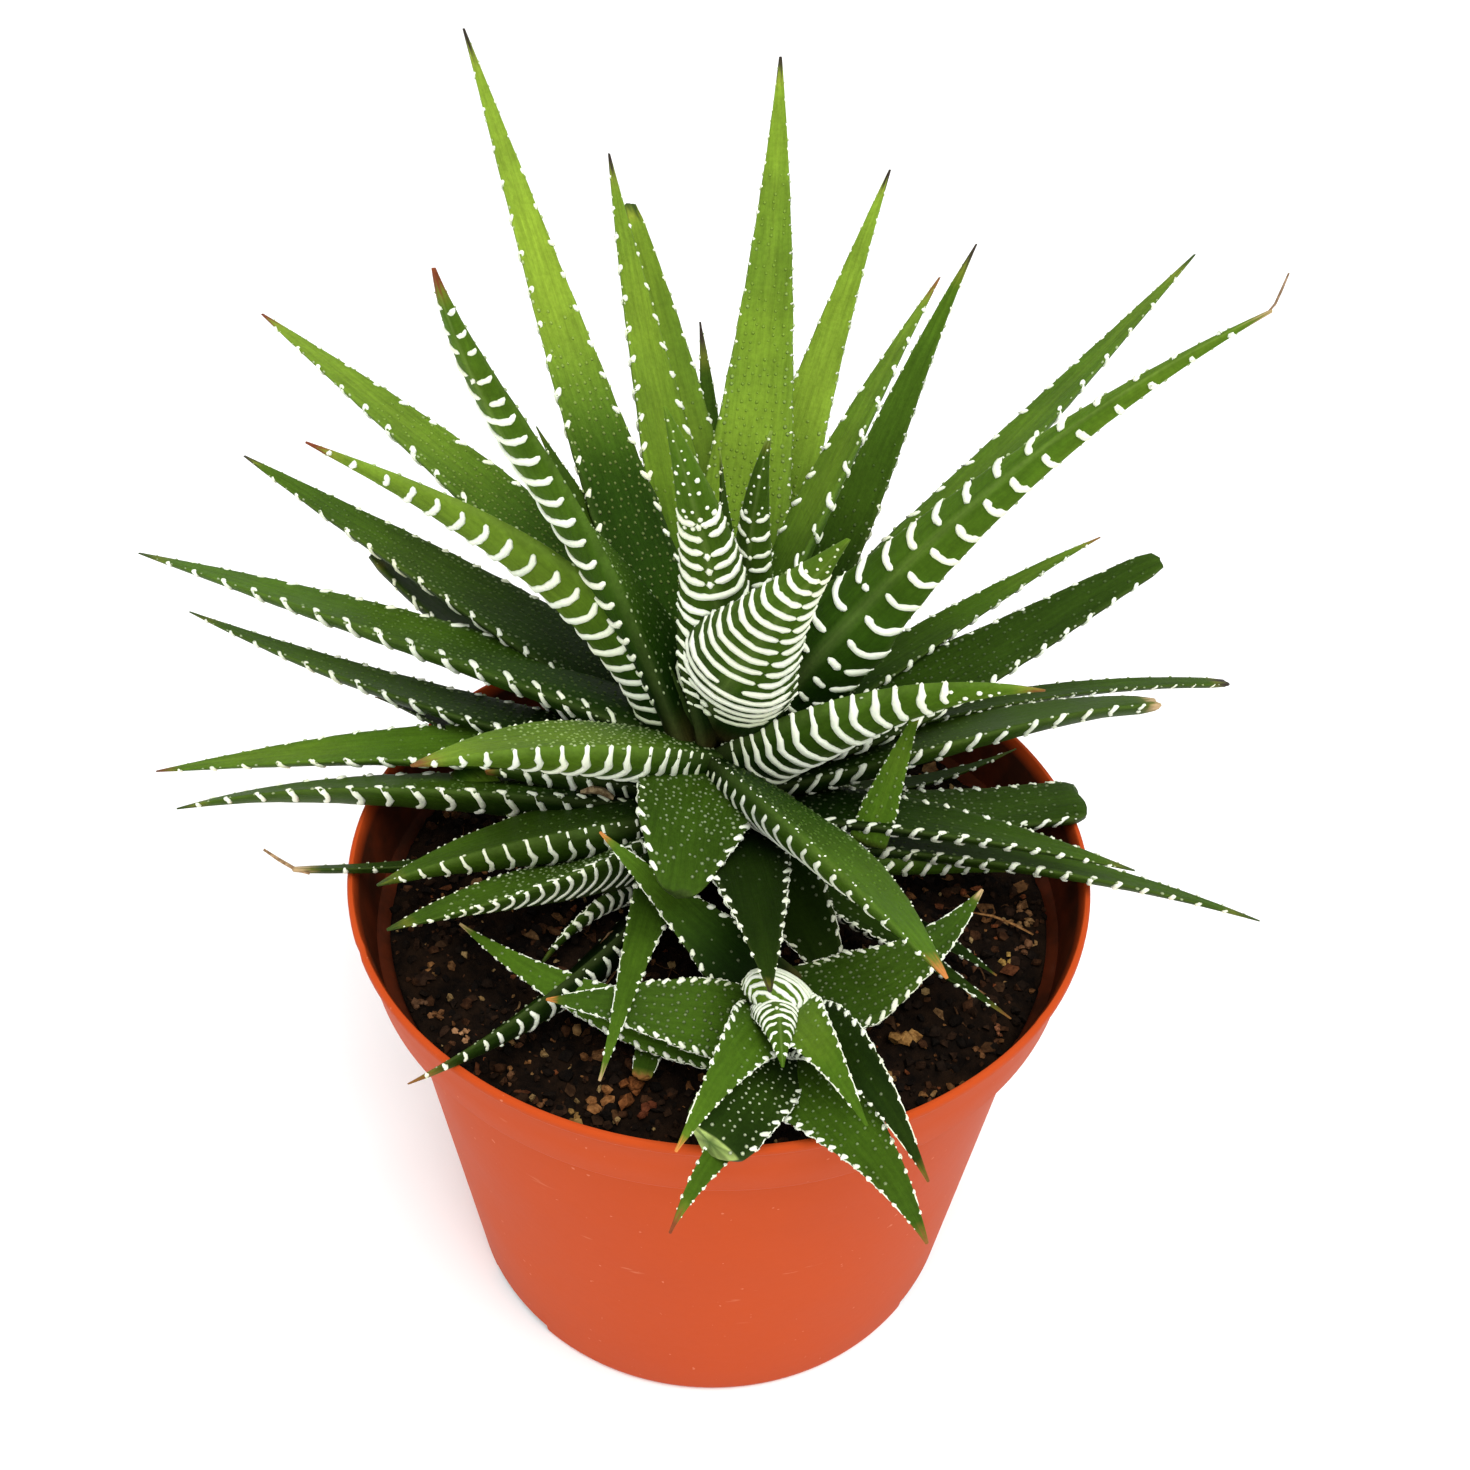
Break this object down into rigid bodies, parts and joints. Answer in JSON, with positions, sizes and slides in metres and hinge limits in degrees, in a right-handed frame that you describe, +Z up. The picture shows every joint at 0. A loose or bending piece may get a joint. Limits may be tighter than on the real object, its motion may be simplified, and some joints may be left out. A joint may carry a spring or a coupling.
{
  "type": "potted zebra haworthia",
  "caption": "Rosette succulent with long pointed keeled leaves banded in raised white bumps, and a small offset at its foot, growing in soil in a round tapered terracotta-coloured nursery pot.",
  "frame": {"origin": "centre of the pot's flat underside", "axes": "+Z up along the pot's axis; -Y is the front, the side the offset grows on; +X is the viewer's right"},
  "size_m": [0.1927, 0.1814, 0.1944],
  "materials": {
    "pot": "satin terracotta-orange plastic with a faint sheen and a few pale scuffs",
    "soil": "loose dark peat with bark and pumice grains, fully rough",
    "stem": "dull green-brown plant stem",
    "leaf": "firm waxy green leaf with raised cream-white bands, dots and edge teeth"
  },
  "bodies": {
    "root": {"pot": "pot", "soil": "soil", "main_stem": "stem", "offset_stem": "stem", "leaf_01": "leaf", "leaf_02": "leaf", "leaf_03": "leaf", "leaf_04": "leaf", "leaf_05": "leaf", "leaf_06": "leaf", "leaf_07": "leaf", "leaf_08": "leaf", "leaf_09": "leaf", "leaf_10": "leaf", "leaf_11": "leaf", "leaf_12": "leaf", "leaf_13": "leaf", "leaf_14": "leaf", "leaf_15": "leaf", "leaf_16": "leaf", "leaf_17": "leaf", "leaf_18": "leaf", "leaf_19": "leaf", "leaf_20": "leaf", "leaf_21": "leaf", "leaf_22": "leaf", "leaf_23": "leaf", "leaf_24": "leaf", "leaf_25": "leaf", "leaf_26": "leaf", "leaf_27": "leaf", "leaf_28": "leaf", "leaf_29": "leaf", "leaf_30": "leaf", "leaf_32": "leaf", "leaf_33": "leaf", "leaf_34": "leaf", "leaf_35": "leaf", "leaf_36": "leaf", "leaf_37": "leaf", "leaf_38": "leaf", "leaf_39": "leaf", "leaf_40": "leaf", "leaf_42": "leaf", "leaf_43": "leaf", "leaf_44": "leaf", "leaf_45": "leaf", "leaf_46": "leaf", "offset_leaf_01": "leaf", "offset_leaf_02": "leaf", "offset_leaf_03": "leaf", "offset_leaf_04": "leaf", "offset_leaf_05": "leaf", "offset_leaf_06": "leaf", "offset_leaf_07": "leaf", "offset_leaf_08": "leaf", "offset_leaf_09": "leaf", "offset_leaf_10": "leaf", "offset_leaf_11": "leaf", "offset_leaf_13": "leaf"}
  },
  "joints": []
}
